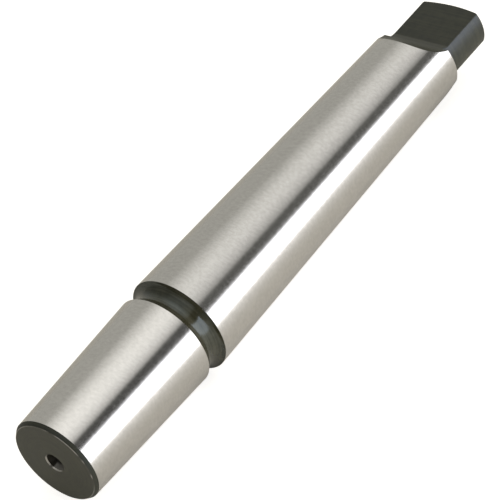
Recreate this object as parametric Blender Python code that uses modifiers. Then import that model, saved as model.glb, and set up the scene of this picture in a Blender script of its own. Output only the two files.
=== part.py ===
"""A one-piece drill chuck arbor, lying along the X axis.

One bar of steel carries a self-holding shank taper with a drive tang at its small end, a relief
groove, and a short taper that a drill chuck is pressed onto. The origin is on the axis, at the
gauge plane of the shank taper. +X points to the tang, and the tang's flats face +Z and -Z.
All sizes are in metres.
"""

import math

import bmesh
import bpy

# Shank taper, size 2. A taper is the change of diameter per unit of length.
SHANK_GAUGE_DIAMETER = 0.01778
SHANK_TAPER = 1 / 20.020
SHANK_LEAD = 0.00435  # from the gauge plane forward to the shank's large end
SHANK_LENGTH = 0.06805  # from the large end to the shoulder at the tang

# Drive tang: a turned stub with a domed tip and two milled flats
TANG_DIAMETER = 0.0124
TANG_THICKNESS = 0.00566
TANG_LENGTH = 0.01083  # from the shoulder to the top of the dome
TANG_DOME_RADIUS = 0.025
TANG_FLAT_LENGTH = 0.0095  # from the top of the dome back to the start of the runout
TANG_RUNOUT_RADIUS = 0.009  # left by the milling cutter
TANG_RUNOUT_ANGLE = math.radians(12)  # between the flat and the runout where they meet

# Round relief groove between the two tapers
GROOVE_WIDTH = 0.00385
GROOVE_DEPTH = 0.0015  # below the straight line between its two edges

# Chuck taper, number 6 short
CHUCK_GAUGE_DIAMETER = 0.01717
CHUCK_TAPER = 1 / 19.264
CHUCK_LEAD = 0.001  # from the groove forward to the gauge plane
CHUCK_LENGTH = 0.0274
CHUCK_CHAMFER_LENGTH = 0.00065
CHUCK_CHAMFER_DEPTH = 0.0004

# Centre holes that the bar is ground on, one in each end
CENTRE_RIM_DIAMETER = 0.00335
CENTRE_PILOT_DIAMETER = 0.0016
CENTRE_PILOT_LENGTH = 0.002  # beyond the cone
CENTRE_ANGLE = math.radians(60)

# Places along the axis that follow from the sizes
SHANK_FRONT = -SHANK_LEAD
SHOULDER = SHANK_FRONT + SHANK_LENGTH
TANG_TIP = SHOULDER + TANG_LENGTH
TANG_FLAT_START = TANG_TIP - TANG_FLAT_LENGTH
CHUCK_BACK = SHANK_FRONT - GROOVE_WIDTH
CHUCK_GAUGE = CHUCK_BACK - CHUCK_LEAD
CHUCK_FRONT = CHUCK_BACK - CHUCK_LENGTH
END_FACE = CHUCK_FRONT - CHUCK_CHAMFER_LENGTH

# Faceting
ROUND_SIDES = 64
GROOVE_STEPS = 12
DOME_STEPS = 4
RUNOUT_STEPS = 18
SHARP_ANGLE = math.radians(20)
MERGE_DISTANCE = 0.00001
FINISH_TOLERANCE = 0.0002  # a face this near to a taper is on it

# Colours, roughness and metallic value of the two finishes
GROUND_STEEL = ((0.62, 0.61, 0.59), 0.28, 1.0)
BLACK_FINISH = ((0.045, 0.046, 0.042), 0.45, 0.6)


def clear_scene():
    """Removes every object that the scene starts with."""
    for obj in list(bpy.data.objects):
        bpy.data.objects.remove(obj, do_unlink=True)


def new_collection(name):
    collection = bpy.data.collections.new(name)
    bpy.context.scene.collection.children.link(collection)
    return collection


def new_material(name, finish):
    colour, roughness, metallic = finish
    material = bpy.data.materials.new(name)
    material.use_nodes = True
    material.diffuse_color = (*colour, 1.0)
    shader = material.node_tree.nodes["Principled BSDF"]
    shader.inputs["Base Color"].default_value = (*colour, 1.0)
    shader.inputs["Roughness"].default_value = roughness
    shader.inputs["Metallic"].default_value = metallic
    return material


def shank_radius(station):
    """Radius of the shank taper at a place along the axis."""
    return (SHANK_GAUGE_DIAMETER - station * SHANK_TAPER) / 2


def chuck_radius(station):
    """Radius of the chuck taper at a place along the axis."""
    return (CHUCK_GAUGE_DIAMETER + (station - CHUCK_GAUGE) * CHUCK_TAPER) / 2


def dome_station(radius):
    """Place along the axis of the tang's domed tip, at a distance from the axis."""
    return TANG_TIP - TANG_DOME_RADIUS + math.sqrt(TANG_DOME_RADIUS**2 - radius**2)


def arc(centre, radius, start, turn, steps):
    """Points in a plane on an arc, from the angle start through the angle turn."""
    angles = [start + turn * step / steps for step in range(steps + 1)]
    return [(centre[0] + radius * math.cos(a), centre[1] + radius * math.sin(a)) for a in angles]


def centre_hole(mouth, inward):
    """Profile of a centre hole, from the axis out to its rim.

    mouth is the place of the rim along the axis, and inward is the direction into the bar.
    """
    rim = CENTRE_RIM_DIAMETER / 2
    pilot = CENTRE_PILOT_DIAMETER / 2
    cone_end = mouth + inward * (rim - pilot) / math.tan(CENTRE_ANGLE / 2)
    pilot_end = cone_end + inward * CENTRE_PILOT_LENGTH
    return [(0.0, pilot_end), (pilot, pilot_end), (pilot, cone_end), (rim, mouth)]


def tang_tip():
    """Profile of the domed tip, from the rim of its centre hole to the tang's side."""
    inner = CENTRE_RIM_DIAMETER / 2
    outer = TANG_DIAMETER / 2
    radii = [inner + (outer - inner) * step / DOME_STEPS for step in range(1, DOME_STEPS + 1)]
    return [(radius, dome_station(radius)) for radius in radii]


def relief_groove():
    """Profile of the groove: an arc from the shank's front edge to the chuck taper's back edge."""
    back = (shank_radius(SHANK_FRONT), SHANK_FRONT)
    front = (chuck_radius(CHUCK_BACK), CHUCK_BACK)
    middle = ((back[0] + front[0]) / 2, (back[1] + front[1]) / 2)
    half_width = math.dist(back, front) / 2
    radius = (half_width**2 + GROOVE_DEPTH**2) / (2 * GROOVE_DEPTH)
    rise = radius - GROOVE_DEPTH
    inward = math.atan2(front[1] - back[1], front[0] - back[0]) - math.pi / 2
    centre = (middle[0] - rise * math.cos(inward), middle[1] - rise * math.sin(inward))
    half_turn = math.atan2(half_width, rise)
    return arc(centre, radius, inward - half_turn, 2 * half_turn, GROOVE_STEPS)


def arbor_profile():
    """Half section of the turned bar as (radius, station), from the tang's tip to the end face."""
    tip_hole = centre_hole(dome_station(CENTRE_RIM_DIAMETER / 2), -1)
    face_hole = centre_hole(END_FACE, 1)
    return [
        *tip_hole,
        *tang_tip(),
        (TANG_DIAMETER / 2, SHOULDER),
        (shank_radius(SHOULDER), SHOULDER),
        *relief_groove(),
        (chuck_radius(CHUCK_FRONT), CHUCK_FRONT),
        (chuck_radius(CHUCK_FRONT) - CHUCK_CHAMFER_DEPTH, END_FACE),
        *reversed(face_hole),
    ]


def turned_bar(name, collection):
    """The bar as it leaves the lathe: the profile turned round its own Z axis, laid along X."""
    mesh = bpy.data.meshes.new(name)
    points = [(radius, 0.0, station) for radius, station in arbor_profile()]
    edges = [(i, i + 1) for i in range(len(points) - 1)]
    mesh.from_pydata(points, edges, [])
    bar = bpy.data.objects.new(name, mesh)
    collection.objects.link(bar)
    screw = bar.modifiers.new("turning", "SCREW")
    screw.axis = "Z"
    screw.steps = ROUND_SIDES
    screw.render_steps = ROUND_SIDES
    screw.use_merge_vertices = True
    screw.merge_threshold = MERGE_DISTANCE
    # Half a side of turn about its own axis puts a flat facet, not an edge, at the bottom.
    bar.rotation_mode = "ZYX"
    bar.rotation_euler = (0.0, math.pi / 2, math.pi / ROUND_SIDES)
    return bar


def flat_cutter(name, collection):
    """What the milling cutter sweeps above one flat: a block with a rounded front corner."""
    flat = TANG_THICKNESS / 2
    top = flat + TANG_RUNOUT_RADIUS + SHANK_GAUGE_DIAMETER
    behind = TANG_TIP + TANG_DIAMETER
    pivot = (
        TANG_FLAT_START + TANG_RUNOUT_RADIUS * math.sin(TANG_RUNOUT_ANGLE),
        flat + TANG_RUNOUT_RADIUS * math.cos(TANG_RUNOUT_ANGLE),
    )
    climb = math.pi / 2 - TANG_RUNOUT_ANGLE
    runout = arc(pivot, TANG_RUNOUT_RADIUS, climb - math.pi, -climb, RUNOUT_STEPS)
    outline = [(behind, flat), *runout, (runout[-1][0], top), (behind, top)]
    shape = bmesh.new()
    side = [shape.verts.new((x, -SHANK_GAUGE_DIAMETER, z)) for x, z in outline]
    swept = bmesh.ops.extrude_face_region(shape, geom=[shape.faces.new(side)])
    moved = [item for item in swept["geom"] if isinstance(item, bmesh.types.BMVert)]
    bmesh.ops.translate(shape, verts=moved, vec=(0.0, 2 * SHANK_GAUGE_DIAMETER, 0.0))
    bmesh.ops.recalc_face_normals(shape, faces=shape.faces)
    mesh = bpy.data.meshes.new(name)
    shape.to_mesh(mesh)
    shape.free()
    cutter = bpy.data.objects.new(name, mesh)
    cutter.hide_render = True
    cutter.display_type = "WIRE"
    collection.objects.link(cutter)
    return cutter


def mill_flats(bar, collection):
    """Cuts the tang's two flats, the second with the same cutter half a turn round the axis."""
    upper = flat_cutter("upper_flat_cutter", collection)
    lower = upper.copy()
    lower.name = "lower_flat_cutter"
    lower.rotation_euler.x = math.pi
    collection.objects.link(lower)
    for cutter in (upper, lower):
        cut = bar.modifiers.new(cutter.name, "BOOLEAN")
        cut.operation = "DIFFERENCE"
        cut.solver = "EXACT"
        cut.object = cutter


def apply_modifiers(obj):
    """Gives an object the mesh that its modifiers make, and removes them."""
    bpy.context.view_layer.update()
    graph = bpy.context.evaluated_depsgraph_get()
    mesh = bpy.data.meshes.new_from_object(obj.evaluated_get(graph))
    obj.modifiers.clear()
    obj.data = mesh


def is_ground(centre):
    """Whether a face, by its middle in the bar's own axes, lies on one of the two ground tapers."""
    distance = math.hypot(centre.x, centre.y)
    if SHANK_FRONT < centre.z < SHOULDER:
        return abs(distance - shank_radius(centre.z)) < FINISH_TOLERANCE
    if CHUCK_FRONT < centre.z < CHUCK_BACK:
        return abs(distance - chuck_radius(centre.z)) < FINISH_TOLERANCE
    return False


def finish(bar):
    """Shades the round surfaces smooth, and blackens all but the ground tapers."""
    mesh = bar.data
    mesh.materials.clear()
    mesh.materials.append(new_material("ground_steel", GROUND_STEEL))
    mesh.materials.append(new_material("black_finish", BLACK_FINISH))
    mesh.shade_smooth()
    mesh.set_sharp_from_angle(angle=SHARP_ANGLE)
    for face in mesh.polygons:
        face.material_index = 0 if is_ground(face.center) else 1


def main():
    clear_scene()
    parts = new_collection("drill_chuck_arbor")
    cutters = new_collection("cutters")
    arbor = turned_bar("arbor", parts)
    mill_flats(arbor, cutters)
    apply_modifiers(arbor)
    finish(arbor)


main()
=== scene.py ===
"""Dresses a drill chuck arbor: ground tapers, and a blackened tang, groove and end, in a soft studio.

Lengths are in metres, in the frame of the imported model: the arbor lies along X with its tang towards +X,
the origin is on its axis at the gauge plane of the shank taper, and the tang's flats face up and down.
"""

import logging
import math
from collections.abc import Iterable, Mapping
from dataclasses import dataclass
from enum import Enum

import bmesh
import bpy
from mathutils import Matrix, Vector


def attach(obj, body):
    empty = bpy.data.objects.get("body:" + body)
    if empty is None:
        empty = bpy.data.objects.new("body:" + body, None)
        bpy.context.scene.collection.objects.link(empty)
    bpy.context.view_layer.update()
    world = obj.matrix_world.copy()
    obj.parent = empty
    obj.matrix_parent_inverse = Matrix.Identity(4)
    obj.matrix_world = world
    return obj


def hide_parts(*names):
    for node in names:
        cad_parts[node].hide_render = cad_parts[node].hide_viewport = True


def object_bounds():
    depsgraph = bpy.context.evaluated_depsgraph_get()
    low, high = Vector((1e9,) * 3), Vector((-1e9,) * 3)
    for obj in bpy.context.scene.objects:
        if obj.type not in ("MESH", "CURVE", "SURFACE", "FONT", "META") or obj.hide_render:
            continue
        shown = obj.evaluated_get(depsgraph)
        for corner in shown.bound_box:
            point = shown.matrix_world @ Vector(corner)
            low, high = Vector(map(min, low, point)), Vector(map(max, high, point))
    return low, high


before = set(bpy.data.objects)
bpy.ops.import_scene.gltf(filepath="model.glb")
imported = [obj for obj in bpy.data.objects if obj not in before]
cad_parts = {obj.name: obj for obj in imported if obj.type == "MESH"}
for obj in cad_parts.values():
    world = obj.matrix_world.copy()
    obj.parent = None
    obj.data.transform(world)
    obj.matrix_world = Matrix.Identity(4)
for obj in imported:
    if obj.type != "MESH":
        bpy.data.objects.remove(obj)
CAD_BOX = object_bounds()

LOG = logging.getLogger("arbor")
MERGE_DISTANCE = 1e-6
ORDER_SPAN = 65536  # more merge distances than the arbor is wide

Colour = tuple[float, float, float]
Span = tuple[float, float]
Stops = tuple[Span, ...]
Value = "Signal | float | int | tuple[float, ...]"
WHITE: Colour = (1.0, 1.0, 1.0)


class Zone(Enum):
    """The arbor's finishes, by the material slot that holds each."""

    GROUND = 0
    TANG_BLACK = 1
    FLAT_BLACK = 2
    GROOVE_BLACK = 3
    FACE_BLACK = 4
    CHAMFER_BLACK = 5
    RIM_WEAR = 6
    LIP_BARE_STEEL = 7
    # the centre cone: painted light on its lower wall, painted shade in the rest
    HOLE_PAINTED_LIGHT_AND_SHADE = 8


class ToolMarks(Enum):
    """How the cutting tool ran over a surface before it was blackened."""

    TURNED = "turned"
    MILLED = "milled"


class Signal:
    """A shader socket that takes part in Python arithmetic, which adds Math nodes."""

    def __init__(self, graph: "NodeGraph", socket: bpy.types.NodeSocket) -> None:
        """Wraps one output socket of a graph."""
        self.graph = graph
        self.socket = socket

    def _math(self, operation: str, first: Value, second: Value) -> "Signal":
        """Adds one Math node."""
        return self.graph.add("ShaderNodeMath", {"operation": operation}, {0: first, 1: second})

    def __add__(self, other: Value) -> "Signal":
        """self + other"""
        return self._math("ADD", self, other)

    __radd__ = __add__

    def __sub__(self, other: Value) -> "Signal":
        """self - other"""
        return self._math("SUBTRACT", self, other)

    def __mul__(self, other: Value) -> "Signal":
        """self * other"""
        return self._math("MULTIPLY", self, other)

    def __truediv__(self, other: Value) -> "Signal":
        """self / other"""
        return self._math("DIVIDE", self, other)

    def __pow__(self, other: Value) -> "Signal":
        """self ** other"""
        return self._math("POWER", self, other)

    def larger(self, other: Value) -> "Signal":
        """The larger of the two values."""
        return self._math("MAXIMUM", self, other)

    def step(self, low: float, high: float) -> "Signal":
        """A smooth step from 0 where the value is low to 1 where it is high."""
        settings = {"interpolation_type": "SMOOTHSTEP"}
        return self.graph.add("ShaderNodeMapRange", settings, {0: self, 1: low, 2: high})


class NodeGraph:
    """The node tree of a material or a world, emptied and then filled through one method."""

    def __init__(self, tree: bpy.types.NodeTree) -> None:
        """Empties the tree."""
        self.tree = tree
        tree.nodes.clear()

    def add(
        self,
        kind: str,
        settings: Mapping[str, object] | None = None,
        sockets: "Mapping[str | int, Value] | None" = None,
        output: str | int = 0,
    ) -> Signal:
        """Adds a node.

        Args:
            kind: the node's type.
            settings: its own properties, set first; stops are a ramp's (position, colour) pairs.
            sockets: values or signals for its inputs, by name or number.
            output: which output to return.

        Returns:
            The chosen output as a signal, or nothing for a node without outputs.
        """
        node = self.tree.nodes.new(kind)
        for name, value in (settings or {}).items():
            if name == "stops":
                self._set_stops(node.color_ramp, value)
            else:
                setattr(node, name, value)
        for name, value in (sockets or {}).items():
            if isinstance(value, Signal):
                self.tree.links.new(value.socket, node.inputs[name])
            else:
                node.inputs[name].default_value = value
        return Signal(self, node.outputs[output]) if node.outputs else None

    @staticmethod
    def _set_stops(ramp: bpy.types.ColorRamp, stops: Iterable[tuple[float, Colour]]) -> None:
        """Replaces a ramp's stops."""
        while len(ramp.elements) > 1:
            ramp.elements.remove(ramp.elements[-1])
        for index, (position, colour) in enumerate(stops):
            element = ramp.elements[0] if index == 0 else ramp.elements.new(position)
            element.position = position
            element.color = (*colour, 1.0)

    def place(self, space: str = "Object") -> tuple[Signal, Signal, Signal]:
        """Texture coordinates, as three values."""
        where = self.add("ShaderNodeTexCoord", output=space)
        parts = [self.add("ShaderNodeSeparateXYZ", sockets={0: where}, output=axis) for axis in "XYZ"]
        return tuple(parts)

    def noise(self, vector: Signal, scale: float, detail: float = 2.0) -> Signal:
        """Noise from 0 to 1 at a vector."""
        return self.add("ShaderNodeTexNoise", sockets={"Vector": vector, "Scale": scale, "Detail": detail})

    def round_axis(self, y: Signal, z: Signal, stops: Stops) -> Signal:
        """A value that follows the angle round X, from stops of degrees from straight up towards -Y."""
        angle = self.add("ShaderNodeMath", {"operation": "ARCTAN2"}, {0: y * -1.0, 1: z})
        ramp = [((degrees + 180.0) / 360.0, (level,) * 3) for degrees, level in stops]
        return self.add("ShaderNodeValToRGB", {"stops": ramp}, {0: angle / (2 * math.pi) + 0.5})

    def vector(self, x: Value, y: Value, z: Value) -> Signal:
        """Three values as one vector."""
        return self.add("ShaderNodeCombineXYZ", sockets={0: x, 1: y, 2: z})

    def mix(self, share: Value, first: "Signal | Colour", second: "Signal | Colour") -> Signal:
        """A colour between two colours."""
        colours = [c if isinstance(c, Signal) else (*c, 1.0) for c in (first, second)]
        sockets = {0: share, 6: colours[0], 7: colours[1]}
        return self.add("ShaderNodeMix", {"data_type": "RGBA"}, sockets, output=2)

    def shown(self, direct: float, mirrored: float) -> Signal:
        """One value to the camera and another in mirrors and through glass, and nothing to other rays."""
        camera, glossy, through = (
            self.add("ShaderNodeLightPath", output=f"Is {kind} Ray")
            for kind in ("Camera", "Glossy", "Transmission")
        )
        return (camera * direct).larger(glossy.larger(through) * mirrored)

    def bump(self, height: Signal, depth: float) -> Signal:
        """A normal from a height between 0 and 1 that stands for a depth in metres."""
        return self.add("ShaderNodeBump", sockets={"Strength": 1.0, "Distance": depth, "Height": height})


def new_material(name: str) -> tuple[bpy.types.Material, NodeGraph]:
    """Makes an empty node material.

    Args:
        name: the material's name.

    Returns:
        The material and its graph.
    """
    material = bpy.data.materials.new(name)
    material.use_nodes = True
    return material, NodeGraph(material.node_tree)


@dataclass(frozen=True)
class GroundSteel:
    """Hardened steel, cylindrically ground: bright, with fine lines and short streaks round the bar."""

    colour: Colour = (0.592, 0.582, 0.562)
    line_colour: Colour = (0.530, 0.521, 0.501)
    roughness: float = 0.17
    roughness_spread: float = 0.03
    line_pitch: float = 0.00028
    line_run: float = 0.012
    line_share: float = 0.15
    line_detail: float = 3.0
    streak_pitch: float = 0.00042
    streak_run: float = 0.0007
    line_depth: float = 0.0000008
    contrast: Span = (0.25, 0.75)

    def material(self) -> bpy.types.Material:
        """Builds the material."""
        material, graph = new_material("ground_steel")
        x, y, z = graph.place()
        long_path = graph.vector(x / self.line_pitch, y / self.line_run, z / self.line_run)
        short_path = graph.vector(x / self.streak_pitch, y / self.streak_run, z / self.streak_run)
        long_lines = graph.noise(long_path, 1.0, self.line_detail) * self.line_share
        streaks = graph.noise(short_path, 1.0) * (1.0 - self.line_share)
        lines = (long_lines + streaks).step(*self.contrast)
        shader = graph.add(
            "ShaderNodeBsdfPrincipled",
            sockets={
                "Base Color": graph.mix(lines, self.line_colour, self.colour),
                "Metallic": 1.0,
                "Roughness": self.roughness + (lines - 0.5) * self.roughness_spread,
                "Normal": graph.bump(lines, self.line_depth),
            },
        )
        graph.add("ShaderNodeOutputMaterial", sockets={"Surface": shader})
        return material


@dataclass(frozen=True)
class BlackOxide:
    """Chemically blackened steel, satin and slightly olive, with the tool's marks under the black."""

    name: str
    marks: ToolMarks
    colour: Colour = (0.017, 0.0168, 0.005)
    mottle_colour: Colour = (0.036, 0.0352, 0.015)
    mottle_size: float = 0.0015
    mottle_detail: float = 4.0
    sheen_tint: Colour = (0.74, 0.83, 1.0)
    gloss: float = 0.68
    roughness: float = 0.34
    roughness_spread: float = 0.08
    mark_pitch: float = 0.00035
    mark_run: float = 0.012
    mark_depth: float = 0.0000016
    contrast: Span = (0.3, 0.7)

    def material(self) -> bpy.types.Material:
        """Builds the material."""
        material, graph = new_material(self.name)
        x, y, z = graph.place()
        if self.marks is ToolMarks.TURNED:
            radius = (y**2 + z**2) ** 0.5
            path = graph.vector((x + radius) / self.mark_pitch, y / self.mark_run, z / self.mark_run)
        else:
            path = graph.vector(x / self.mark_pitch, y / self.mark_run, z / self.mark_run)
        lines = graph.noise(path, 1.0)
        spots = graph.noise(graph.vector(x, y, z), 1.0 / self.mottle_size, self.mottle_detail)
        tone = ((lines + spots) / 2.0).step(*self.contrast)
        shader = graph.add(
            "ShaderNodeBsdfPrincipled",
            sockets={
                "Base Color": graph.mix(tone, self.colour, self.mottle_colour),
                "Metallic": 0.0,
                "Specular IOR Level": self.gloss,
                "Specular Tint": (*self.sheen_tint, 1.0),
                "Roughness": self.roughness + (spots - 0.5) * self.roughness_spread,
                "Normal": graph.bump(lines, self.mark_depth),
            },
        )
        graph.add("ShaderNodeOutputMaterial", sockets={"Surface": shader})
        return material


@dataclass(frozen=True)
class WearAndPaintedLight:
    """A blackened edge that use has rubbed back to steel, by stops of angle and bareness round it.

    In the centre cone the bare steel is painted light on the lower wall, and a near-black is painted shade.
    Nothing is rubbed closer to the axis than the clear radius.
    """

    name: str
    wear_and_light: Stops
    black: Colour = (0.034, 0.033, 0.020)
    steel: Colour = (0.60, 0.585, 0.54)
    patch_size: float = 0.0008
    patch_depth: float = 0.5
    gloss: float = 0.5
    roughness: float = 0.38
    clear_radius: float = 0.0
    clear_fade: float = 0.00025

    def material(self) -> bpy.types.Material:
        """Builds the material."""
        material, graph = new_material(self.name)
        x, y, z = graph.place()
        patches = graph.noise(graph.vector(x, y, z), 1.0 / self.patch_size) - 0.5
        reach = ((y**2 + z**2) ** 0.5).step(self.clear_radius, self.clear_radius + self.clear_fade)
        bare = graph.round_axis(y, z, self.wear_and_light) * (1.0 + patches * self.patch_depth) * reach
        shader = graph.add(
            "ShaderNodeBsdfPrincipled",
            sockets={
                "Base Color": graph.mix(bare, self.black, self.steel),
                "Metallic": bare,
                "Specular IOR Level": self.gloss,
                "Roughness": self.roughness,
            },
        )
        graph.add("ShaderNodeOutputMaterial", sockets={"Surface": shader})
        return material


@dataclass
class Arbor:
    """The one solid bar, turned round X, milled at the tang, blackened and ground on its tapers."""

    node: str = "arbor"
    shank_gauge_diameter: float = 0.01778
    shank_taper: float = 1 / 20.020
    shank_lead: float = 0.00435
    shank_length: float = 0.06805
    tang_diameter: float = 0.0124
    tang_thickness: float = 0.00566
    tang_length: float = 0.01083
    tang_dome_radius: float = 0.0275
    tang_flat_length: float = 0.0095
    runout_radius: float = 0.009
    runout_angle: float = math.radians(12)
    runout_steps: int = 40
    tang_rim_round: float = 0.0003
    tang_edge_break: float = 0.00008
    tang_edge_room: float = 2.0
    tang_weld_share: float = 0.6
    tang_empty_share: float = 1 / 16
    groove_width: float = 0.00385
    groove_depth: float = 0.0015
    groove_steps: int = 24
    chuck_gauge_diameter: float = 0.01717
    chuck_taper: float = 1 / 19.264
    chuck_lead: float = 0.001
    chuck_length: float = 0.02736
    chamfer_length: float = 0.00069
    chamfer_depth: float = 0.00044
    centre_rim_diameter: float = 0.0036
    centre_bore_diameter: float = 0.00325
    centre_pilot_diameter: float = 0.0016
    centre_pilot_length: float = 0.002
    centre_angle: float = math.radians(60)
    edge_break: float = 0.00006
    rim_break: float = 0.00009
    edge_steps: int = 4
    rim_steps: int = 3
    rim_wear: Stops = (
        (-180.0, 0.2),
        (-40.0, 0.5),
        (-20.0, 0.25),
        (0.0, 0.2),
        (8.0, 0.4),
        (14.0, 0.0),
        (20.0, 0.15),
        (26.0, 0.8),
        (33.0, 0.5),
        (37.0, 0.6),
        (44.0, 0.8),
        (54.0, 0.75),
        (59.0, 0.05),
        (64.0, 0.1),
        (67.0, 0.6),
        (71.0, 0.1),
        (86.0, 0.05),
        (90.0, 0.7),
        (95.0, 0.05),
        (105.0, 0.05),
        (120.0, 0.3),
        (180.0, 0.2),
    )
    # The centre hole's lip is bare steel on its lower and +Y side, with a gap near the bottom, and black on
    # its top and -Y side.
    lip_bareness: Stops = (
        (-180.0, 0.9),
        (-148.0, 1.0),
        (-140.0, 0.2),
        (-132.0, 0.1),
        (-124.0, 0.8),
        (-72.0, 0.9),
        (-60.0, 0.3),
        (-30.0, 0.0),
        (130.0, 0.0),
        (150.0, 0.3),
        (165.0, 0.8),
        (180.0, 0.9),
    )
    hole_clear_radius: float = 0.00105
    # Painted light in the centre cone: bare steel on its lower wall, where light from above falls in.
    hole_painted_light: Stops = (
        (-180.0, 0.28),
        (-152.0, 0.24),
        (-142.0, 0.0),
        (100.0, 0.0),
        (120.0, 0.22),
        (150.0, 0.28),
        (180.0, 0.28),
    )
    sides: int = 192
    dome_steps: int = 8
    sharp_angle: float = math.radians(28)

    def __post_init__(self) -> None:
        """Works out the places along the axis, and makes room for the materials."""
        self.shank_front = -self.shank_lead
        self.shoulder = self.shank_front + self.shank_length
        self.tip = self.shoulder + self.tang_length
        self.flat_start = self.tip - self.tang_flat_length
        self.chuck_back = self.shank_front - self.groove_width
        self.chuck_front = self.chuck_back - self.chuck_length
        self.end_face = self.chuck_front - self.chamfer_length
        self.face_radius = self.chuck_radius(self.chuck_front) - self.chamfer_depth
        self.finishes: dict[Zone, bpy.types.Material] = {}

    def shank_radius(self, station: float) -> float:
        """Radius of the shank taper at a place along the axis."""
        return (self.shank_gauge_diameter - station * self.shank_taper) / 2

    def chuck_radius(self, station: float) -> float:
        """Radius of the chuck taper at a place along the axis."""
        gauge = self.chuck_back - self.chuck_lead
        return (self.chuck_gauge_diameter + (station - gauge) * self.chuck_taper) / 2

    def dome(self, radius: float) -> float:
        """Place along the axis of the tang's domed tip, at a distance from the axis."""
        return self.tip - self.tang_dome_radius + math.sqrt(self.tang_dome_radius**2 - radius**2)

    def centre_hole(self, mouth: float, inward: int) -> list[tuple[float, float]]:
        """Half section of a centre hole.

        Args:
            mouth: place of its rim along the axis.
            inward: the direction into the bar, 1 or -1.

        Returns:
            Points (radius, station) from the axis out to the rim.
        """
        rim, bore, pilot = (
            d / 2 for d in (self.centre_rim_diameter, self.centre_bore_diameter, self.centre_pilot_diameter)
        )
        lip = mouth + inward * (rim - bore)
        cone_end = lip + inward * (bore - pilot) / math.tan(self.centre_angle / 2)
        pilot_end = cone_end + inward * self.centre_pilot_length
        drill_point = pilot_end + inward * pilot / 2
        return [(0.0, drill_point), (pilot, pilot_end), (pilot, cone_end), (bore, lip), (rim, mouth)]

    def groove(self) -> list[tuple[float, float]]:
        """Half section of the round groove, from the shank's front edge to the chuck taper's back edge."""
        back = Vector((self.shank_radius(self.shank_front), self.shank_front))
        front = Vector((self.chuck_radius(self.chuck_back), self.chuck_back))
        across = (front - back).normalized()
        inward = Vector((across.y, -across.x))
        half_width = (front - back).length / 2
        radius = (half_width**2 + self.groove_depth**2) / (2 * self.groove_depth)
        centre = (back + front) / 2 - inward * (radius - self.groove_depth)
        half_turn = math.atan2(half_width, radius - self.groove_depth)
        turns = [half_turn * (2 * i / self.groove_steps - 1) for i in range(self.groove_steps + 1)]
        return [tuple(centre + radius * (inward * math.cos(a) + across * math.sin(a))) for a in turns]

    def profile(self) -> list[tuple[float, float]]:
        """Half section of the bar with sharp corners, from the tang's tip to the end face."""
        inner = self.centre_rim_diameter / 2
        outer = self.tang_diameter / 2
        radii = [inner + (outer - inner) * i / self.dome_steps for i in range(1, self.dome_steps + 1)]
        return [
            *self.centre_hole(self.dome(inner), -1),
            *((radius, self.dome(radius)) for radius in radii),
            (outer, self.shoulder),
            (self.shank_radius(self.shoulder), self.shoulder),
            *self.groove(),
            (self.chuck_radius(self.chuck_front), self.chuck_front),
            (self.face_radius, self.end_face),
            *reversed(self.centre_hole(self.end_face, 1)),
        ]

    def turn(self) -> bmesh.types.BMesh:
        """Turns the profile round the axis, and rounds and breaks its edges."""
        shape = bmesh.new()
        points = [shape.verts.new((station, 0.0, radius)) for radius, station in self.profile()]
        for first, second in zip(points, points[1:]):
            shape.edges.new((first, second))
        bmesh.ops.spin(
            shape,
            geom=shape.verts[:] + shape.edges[:],
            axis=(1.0, 0.0, 0.0),
            cent=(0.0, 0.0, 0.0),
            dvec=(0.0, 0.0, 0.0),
            angle=2 * math.pi,
            steps=self.sides,
            use_merge=True,
        )
        bmesh.ops.remove_doubles(shape, verts=shape.verts, dist=MERGE_DISTANCE)
        bmesh.ops.recalc_face_normals(shape, faces=shape.faces)
        self._paint_turned(shape)
        tang_rim = self.tang_diameter / 2
        for radius, station, offset in (
            (self.shank_radius(self.shank_front), self.shank_front, self.edge_break),
            (self.chuck_radius(self.chuck_back), self.chuck_back, self.edge_break),
            (self.shank_radius(self.shoulder), self.shoulder, self.edge_break),
            (tang_rim, self.dome(tang_rim), self.tang_rim_round),
        ):
            self._round_ring(shape, radius, station, offset, self.edge_steps)
        bare_steel = self._round_ring(shape, self.face_radius, self.end_face, self.rim_break, self.rim_steps)
        for face in bare_steel:
            face.material_index = Zone.RIM_WEAR.value
        return shape

    def _paint_turned(self, shape: bmesh.types.BMesh) -> None:
        """Gives each turned face its finish, by its place."""
        for face in shape.faces:
            middle = face.calc_center_median()
            face.material_index = self._zone(middle.x, math.hypot(middle.y, middle.z)).value

    def _zone(self, station: float, radius: float) -> Zone:
        """The finish at a place along the axis and a distance from it."""
        on_shank = self._is_within(station, self.shank_front, self.shoulder)
        on_chuck = self._is_within(station, self.chuck_front, self.chuck_back)
        if self.centre_bore_diameter < 2 * radius < self.centre_rim_diameter:
            return Zone.LIP_BARE_STEEL
        # The centre cone, painted with light on its lower wall and with shade elsewhere.
        if self.centre_pilot_diameter < 2 * radius < self.centre_bore_diameter:
            return Zone.HOLE_PAINTED_LIGHT_AND_SHADE
        if (on_shank or on_chuck) and 2 * radius > self.tang_diameter:
            return Zone.GROUND
        if station > self.shoulder - MERGE_DISTANCE:
            return Zone.TANG_BLACK
        if station > self.chuck_back - MERGE_DISTANCE:
            return Zone.GROOVE_BLACK
        return Zone.CHAMFER_BLACK if radius > self.face_radius else Zone.FACE_BLACK

    def _is_within(self, station: float, start: float, end: float) -> bool:
        """Whether a place is between two others along the axis, and clear of both."""
        return start + self.edge_break / 4 < station < end - self.edge_break / 4

    @staticmethod
    def _round_ring(
        shape: bmesh.types.BMesh, radius: float, station: float, offset: float, segments: int
    ) -> list[bmesh.types.BMFace]:
        """Rounds one circular edge.

        Args:
            shape: the turned bar.
            radius: the edge's radius.
            station: its place along the axis.
            offset: the size of the round.
            segments: its steps.

        Returns:
            The new faces.
        """

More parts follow.
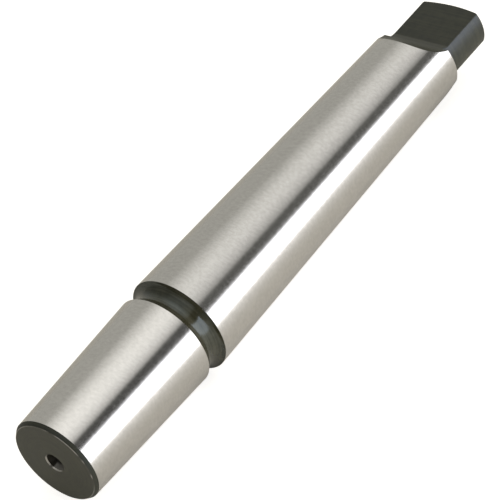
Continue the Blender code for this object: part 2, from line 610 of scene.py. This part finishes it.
        def is_on(vert: bmesh.types.BMVert) -> bool:
            """Whether a vertex is on the edge."""
            near = abs(vert.co.x - station) < MERGE_DISTANCE
            return near and abs(math.hypot(vert.co.y, vert.co.z) - radius) < MERGE_DISTANCE

        ring = [edge for edge in shape.edges if all(is_on(vert) for vert in edge.verts)]
        made = bmesh.ops.bevel(
            shape,
            geom=ring,
            offset=offset,
            offset_type="OFFSET",
            segments=segments,
            profile=0.5,
            affect="EDGES",
            material=-1,
        )
        return made["faces"]

    def _cutter(self) -> bpy.types.Object:
        """The block of space that the milling cutter sweeps above one flat."""
        flat = self.tang_thickness / 2
        reach = self.runout_radius * (1 - math.sin(self.runout_angle))
        dip = self.runout_radius * (1 - math.cos(self.runout_angle))
        length = self.tang_flat_length + reach + self.tang_diameter
        size = Vector((length, 2 * self.shank_gauge_diameter, 2 * self.shank_gauge_diameter))
        corner = Vector((self.flat_start - reach, -size.y / 2, flat - dip))
        shape = bmesh.new()
        bmesh.ops.create_cube(shape, size=1.0)
        bmesh.ops.scale(shape, vec=size, verts=shape.verts)
        bmesh.ops.translate(shape, vec=corner + size / 2, verts=shape.verts)
        front = [
            edge
            for edge in shape.edges
            if all(vert.co.x < corner.x + MERGE_DISTANCE for vert in edge.verts)
            and all(vert.co.z < corner.z + MERGE_DISTANCE for vert in edge.verts)
        ]
        bmesh.ops.bevel(
            shape,
            geom=front,
            offset=self.runout_radius,
            offset_type="OFFSET",
            segments=self.runout_steps,
            profile=0.5,
            affect="EDGES",
            material=-1,
        )
        bmesh.ops.bisect_plane(
            shape,
            geom=shape.verts[:] + shape.edges[:] + shape.faces[:],
            plane_co=(0.0, 0.0, flat),
            plane_no=(0.0, 0.0, 1.0),
            clear_inner=True,
        )
        bmesh.ops.holes_fill(shape, edges=[edge for edge in shape.edges if edge.is_boundary])
        bmesh.ops.recalc_face_normals(shape, faces=shape.faces)
        for face in shape.faces:
            face.material_index = Zone.FLAT_BLACK.value
        return self._object("flat_cutter", shape)

    def _soften_flats(self, mesh: bpy.types.Mesh) -> None:
        """Breaks the sharp outline of the two flats.

        Edges too short for the break are welded before it, and empty faces are cleared after it.
        """
        shape = bmesh.new()
        shape.from_mesh(mesh)
        self._put_in_order(shape)
        shortest = self.tang_edge_room * self.tang_edge_break
        bmesh.ops.remove_doubles(shape, verts=self._outline(shape)[1], dist=self.tang_weld_share * shortest)
        joins = self._short_joins(shape, shortest)
        while joins:
            bmesh.ops.weld_verts(shape, targetmap=joins)
            joins = self._short_joins(shape, shortest)
        bmesh.ops.bevel(
            shape,
            geom=self._outline(shape)[0],
            offset=self.tang_edge_break,
            offset_type="OFFSET",
            segments=self.rim_steps,
            profile=0.5,
            affect="EDGES",
            material=Zone.TANG_BLACK.value,
        )
        empty = self.tang_empty_share * self.tang_edge_break
        bmesh.ops.dissolve_degenerate(shape, dist=empty, edges=shape.edges)
        shape.to_mesh(mesh)
        shape.free()

    def _outline(
        self, shape: bmesh.types.BMesh
    ) -> tuple[list[bmesh.types.BMEdge], list[bmesh.types.BMVert]]:
        """The edges between the milled flats and the turned tang, and their vertices."""
        pair = {Zone.FLAT_BLACK.value, Zone.TANG_BLACK.value}
        start = self.shoulder + self.tang_edge_room * self.tang_edge_break
        edges = [
            edge
            for edge in shape.edges
            if {face.material_index for face in edge.link_faces} == pair
            and all(vert.co.x > start for vert in edge.verts)
        ]
        ends = {vert for edge in edges for vert in edge.verts}
        return edges, [vert for vert in shape.verts if vert in ends]

    @staticmethod
    def _put_in_order(shape: bmesh.types.BMesh) -> None:
        """Sorts a shape by place, since a cut leaves its vertices, edges and faces in no fixed order."""

        def rank(place: Vector) -> float:
            """A number for a place, by x, then y, then z, in whole steps."""
            x, y, z = (round(value / MERGE_DISTANCE) for value in place)
            return (x * ORDER_SPAN + y) * ORDER_SPAN + z

        shape.verts.sort(key=lambda vert: rank(vert.co))
        shape.edges.sort(key=lambda edge: rank((edge.verts[0].co + edge.verts[1].co) / 2))
        shape.faces.sort(key=lambda face: rank(face.calc_center_median()))

    def _short_joins(
        self, shape: bmesh.types.BMesh, shortest: float
    ) -> dict[bmesh.types.BMVert, bmesh.types.BMVert]:
        """Vertices too close to the flats' outline to leave room for its break.

        Args:
            shape: the milled bar.
            shortest: the least length of an edge that meets the outline.

        Returns:
            Each such vertex, with the one on the outline that it joins.
        """
        outline = set(self._outline(shape)[1])
        joins = {}
        for edge in shape.edges:
            inside = [vert for vert in edge.verts if vert in outline]
            if len(inside) == 1 and edge.calc_length() < shortest:
                joins[edge.other_vert(inside[0])] = inside[0]
        return joins

    def _object(self, name: str, shape: bmesh.types.BMesh) -> bpy.types.Object:
        """Makes an object of a bmesh, with a slot for each zone, and frees the bmesh."""
        mesh = bpy.data.meshes.new(name)
        shape.to_mesh(mesh)
        shape.free()
        for material in self.finishes.values():
            mesh.materials.append(material)
        made = bpy.data.objects.new(name, mesh)
        bpy.context.scene.collection.objects.link(made)
        return made

    def _materials(self) -> dict[Zone, bpy.types.Material]:
        """The finish of each zone, in the order of the slots."""
        blacks = {
            Zone.TANG_BLACK: BlackOxide("tang_black", ToolMarks.TURNED, gloss=0.74, roughness=0.40),
            Zone.FLAT_BLACK: BlackOxide("flat_black", ToolMarks.MILLED, gloss=0.45, roughness=0.30),
            Zone.GROOVE_BLACK: BlackOxide(
                "groove_black",
                ToolMarks.TURNED,
                colour=(0.025, 0.0235, 0.011),
                mottle_colour=(0.062, 0.058, 0.036),
                sheen_tint=(0.82, 0.95, 1.0),
                gloss=0.66,
                roughness=0.14,
                mark_depth=0.000004,
            ),
            Zone.FACE_BLACK: BlackOxide(
                "face_black",
                ToolMarks.TURNED,
                colour=(0.029, 0.0275, 0.006),
                mottle_colour=(0.047, 0.045, 0.016),
                gloss=0.56,
                roughness=0.30,
            ),
            Zone.CHAMFER_BLACK: BlackOxide("chamfer_black", ToolMarks.TURNED, gloss=0.60, roughness=0.50),
        }
        bare_steel = {
            Zone.RIM_WEAR: WearAndPaintedLight("worn_rim", self.rim_wear),
            Zone.LIP_BARE_STEEL: WearAndPaintedLight("bare_lip", self.lip_bareness),
            # The centre cone: painted shade, a near-black for its shaded depth, and painted light, bare
            # steel on its lower wall.
            Zone.HOLE_PAINTED_LIGHT_AND_SHADE: WearAndPaintedLight(
                "hole_painted_light_and_shade",
                self.hole_painted_light,
                black=(0.008, 0.0065, 0.002),
                gloss=0.2,
                clear_radius=self.hole_clear_radius,
            ),
        }
        finishes = {Zone.GROUND: GroundSteel(), **blacks, **bare_steel}
        return {zone: finishes[zone].material() for zone in Zone}

    def _mill(self, bar: bpy.types.Object) -> bpy.types.Mesh:
        """Cuts the two flats.

        Args:
            bar: the turned bar, which gets the milled mesh.

        Returns:
            The milled mesh.
        """
        upper = self._cutter()
        lower = bpy.data.objects.new("lower_cutter", upper.data)
        lower.rotation_euler.x = math.pi
        bpy.context.scene.collection.objects.link(lower)
        for cutter in (upper, lower):
            cut = bar.modifiers.new(cutter.name, "BOOLEAN")
            cut.operation = "DIFFERENCE"
            cut.solver = "EXACT"
            cut.material_mode = "INDEX"
            cut.object = cutter
        bpy.context.view_layer.update()
        graph = bpy.context.evaluated_depsgraph_get()
        mesh = bpy.data.meshes.new_from_object(bar.evaluated_get(graph))
        bar.modifiers.clear()
        bar.data = mesh
        for cutter in (upper, lower):
            bpy.data.objects.remove(cutter)
        return mesh

    def build(self) -> bpy.types.Object:
        """Turns, mills and dresses the bar.

        Returns:
            The finished piece.
        """
        self.finishes = self._materials()
        bar = self._object("arbor_bar", self.turn())
        mesh = self._mill(bar)
        self._soften_flats(mesh)
        mesh.shade_smooth()
        mesh.set_sharp_from_angle(angle=self.sharp_angle)
        shading = bar.modifiers.new("shading", "WEIGHTED_NORMAL")
        shading.keep_sharp = True
        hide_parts(self.node)
        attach(bar, "root")
        return bar


@dataclass
class PhotoCamera:
    """The camera at the photograph's viewing angle."""

    azimuth: float = math.radians(-130.275)
    elevation: float = math.radians(39.161)
    roll: float = math.radians(-19.814)
    distance: float = 0.52854
    aim: tuple[float, float, float] = (0.014254, -0.000264, -0.000247)
    lens: float = 239.6
    sensor: float = 36.0
    nearest: float = 0.01
    farthest: float = 100.0

    def build(self) -> bpy.types.Object:
        """Makes the camera and sets it as the scene's."""
        flat = math.cos(self.elevation)
        back = Vector(
            (flat * math.cos(self.azimuth), flat * math.sin(self.azimuth), math.sin(self.elevation))
        )
        level = Vector((0.0, 0.0, 1.0)).cross(back).normalized()
        right = Matrix.Rotation(self.roll, 3, back) @ level
        turn = Matrix((right, back.cross(right), back)).transposed()
        lens = bpy.data.cameras.new("photo_camera")
        lens.lens = self.lens
        lens.sensor_fit = "HORIZONTAL"
        lens.sensor_width = self.sensor
        lens.clip_start = self.nearest
        lens.clip_end = self.farthest
        camera = bpy.data.objects.new("photo_camera", lens)
        camera.matrix_world = Matrix.Translation(Vector(self.aim) + back * self.distance) @ turn.to_4x4()
        bpy.context.scene.collection.objects.link(camera)
        bpy.context.scene.camera = camera
        return camera


@dataclass
class StripLamp:
    """A long, low box of light that stands on the floor beside the arbor, brighter towards its top."""

    start: float = -0.062
    end: float = 0.17
    height: float = 0.034
    away: float = 0.055
    turn: float = math.radians(-4.5)
    low_brightness: float = 2.3
    high_brightness: float = 2.7
    tint: Colour = (0.965, 0.975, 1.05)

    def build(self, ground: float) -> bpy.types.Object:
        """Makes the lamp, with its lower edge on the floor.

        Args:
            ground: the height of the floor.

        Returns:
            The lamp.
        """
        lamp = bpy.data.lights.new("strip_lamp", "AREA")
        lamp.shape = "RECTANGLE"
        lamp.size = self.end - self.start
        lamp.size_y = self.height
        lamp.energy = math.pi * lamp.size * lamp.size_y
        lamp.use_nodes = True
        graph = NodeGraph(lamp.node_tree)
        where = graph.add("ShaderNodeNewGeometry", output="Parametric")
        rise = graph.add("ShaderNodeSeparateXYZ", sockets={0: where}, output="Y")
        level = self.low_brightness + rise * (self.high_brightness - self.low_brightness)
        glow = graph.add("ShaderNodeEmission", sockets={"Color": (*self.tint, 1.0), "Strength": level})
        graph.add("ShaderNodeOutputLight", sockets={"Surface": glow})
        box = bpy.data.objects.new("strip_lamp", lamp)
        middle = (self.start + self.end) / 2
        box.location = (middle, -self.away + middle * math.tan(self.turn), ground + self.height / 2)
        box.rotation_euler = (math.radians(90), 0.0, self.turn)
        box.visible_camera = False
        bpy.context.scene.collection.objects.link(box)
        return box


@dataclass
class Studio:
    """A pale floor under a soft tent, with an overhead box of light and a dark gap beside it.

    Stops are pairs of an angle round the arbor in degrees, from straight up towards -Y, and a brightness.
    """

    tent: Stops = (
        (-180.0, 0.515),
        (-40.0, 0.515),
        (40.0, 0.046),
        (64.0, 0.046),
        (72.0, 0.38),
        (180.0, 0.485),
    )
    haze: Stops = ((-180.0, 0.0), (30.0, 0.0), (42.0, 0.06), (64.0, 0.06), (72.0, 0.0))
    box: Stops = (
        (-180.0, 0.0),
        (-110.0, 0.0),
        (-38.0, 0.03),
        (-19.0, 0.38),
        (-5.0, 0.64),
        (8.0, 0.77),
        (20.0, 0.77),
        (31.0, 0.66),
        (37.0, 0.54),
        (42.8, 0.38),
        (45.2, 0.20),
        (46.4, 0.0),
    )
    box_tint: Colour = (1.0, 0.985, 0.96)
    box_near: float = 1.65
    box_far: float = 1.05
    box_near_slope: float = 0.38
    box_far_slope: float = 0.56
    front_level: float = 0.42
    front_dark_slope: float = -0.35
    front_lit_slope: float = 0.30
    tent_tint: Colour = (1.0, 0.985, 0.90)
    floor_half: float = 1.5
    floor_colour: Colour = (0.735, 0.70, 0.62)
    floor_roughness: float = 0.40
    floor_gloss: float = 0.25
    floor_lift: float = 0.74
    mirror_lift: float = 0.05
    backdrop_mirror: float = 0.03

    def build(self, ground: float) -> bpy.types.Object:
        """Makes the world and the floor.

        Args:
            ground: the height that the arbor lies on.

        Returns:
            The floor.
        """
        self._build_world()
        shape = bmesh.new()
        bmesh.ops.create_grid(shape, x_segments=1, y_segments=1, size=self.floor_half)
        bmesh.ops.translate(shape, vec=(0.0, 0.0, ground), verts=shape.verts)
        mesh = bpy.data.meshes.new("floor")
        shape.to_mesh(mesh)
        shape.free()
        mesh.materials.append(self._floor_material())
        floor = bpy.data.objects.new("floor", mesh)
        bpy.context.scene.collection.objects.link(floor)
        return floor

    def _build_world(self) -> None:
        """Fills the world with the tent and the overhead box, white behind to the camera."""
        world = bpy.data.worlds.new("tent")
        world.use_nodes = True
        bpy.context.scene.world = world
        graph = NodeGraph(world.node_tree)
        x, y, z = graph.place("Generated")
        lit = x.step(self.front_dark_slope, self.front_lit_slope)
        front = self.front_level + lit * (1.0 - self.front_level)
        fall = x.step(self.box_near_slope, self.box_far_slope)
        reach = front * (self.box_near + fall * (self.box_far - self.box_near))
        tent = graph.round_axis(y, z, self.tent) * front + graph.round_axis(y, z, self.haze) * fall
        box = graph.round_axis(y, z, self.box) * reach
        lights = [
            graph.add("ShaderNodeBackground", sockets={"Color": (*tint, 1.0), "Strength": level})
            for tint, level in ((self.tent_tint, tent), (self.box_tint, box))
        ]
        both = graph.add("ShaderNodeAddShader", sockets={0: lights[0], 1: lights[1]})
        white = graph.add("ShaderNodeBackground", sockets={"Color": (*WHITE, 1.0), "Strength": 1.0})
        share = graph.shown(1.0, self.backdrop_mirror)
        tented = graph.add("ShaderNodeMixShader", sockets={0: share, 1: both, 2: white})
        graph.add("ShaderNodeOutputWorld", sockets={"Surface": tented})

    def _floor_material(self) -> bpy.types.Material:
        """A satin floor that reads as white to the camera, shows in the metal, and keeps its shadows."""
        material, graph = new_material("pale_floor")
        lift = graph.shown(self.floor_lift, self.mirror_lift)
        satin = graph.add(
            "ShaderNodeBsdfPrincipled",
            sockets={
                "Base Color": (*self.floor_colour, 1.0),
                "Roughness": self.floor_roughness,
                "Specular IOR Level": self.floor_gloss,
            },
        )
        glow = graph.add("ShaderNodeEmission", sockets={"Strength": lift})
        both = graph.add("ShaderNodeAddShader", sockets={0: satin, 1: glow})
        graph.add("ShaderNodeOutputMaterial", sockets={"Surface": both})
        return material


def main() -> None:
    """Builds the camera, the arbor and the studio."""
    logging.basicConfig(level=logging.INFO, format="%(name)s: %(message)s")
    bpy.context.scene.view_settings.view_transform = "Standard"
    PhotoCamera().build()
    piece = Arbor().build()
    LOG.info("%s has %d faces", piece.name, len(piece.data.polygons))
    floor = Studio().build(CAD_BOX[0].z)
    lamp = StripLamp().build(CAD_BOX[0].z)
    LOG.info("%s is %.2f m long", lamp.name, lamp.data.size)
    LOG.info("%s lies at %.4f m", floor.name, CAD_BOX[0].z)


if __name__ == "__main__":
    main()
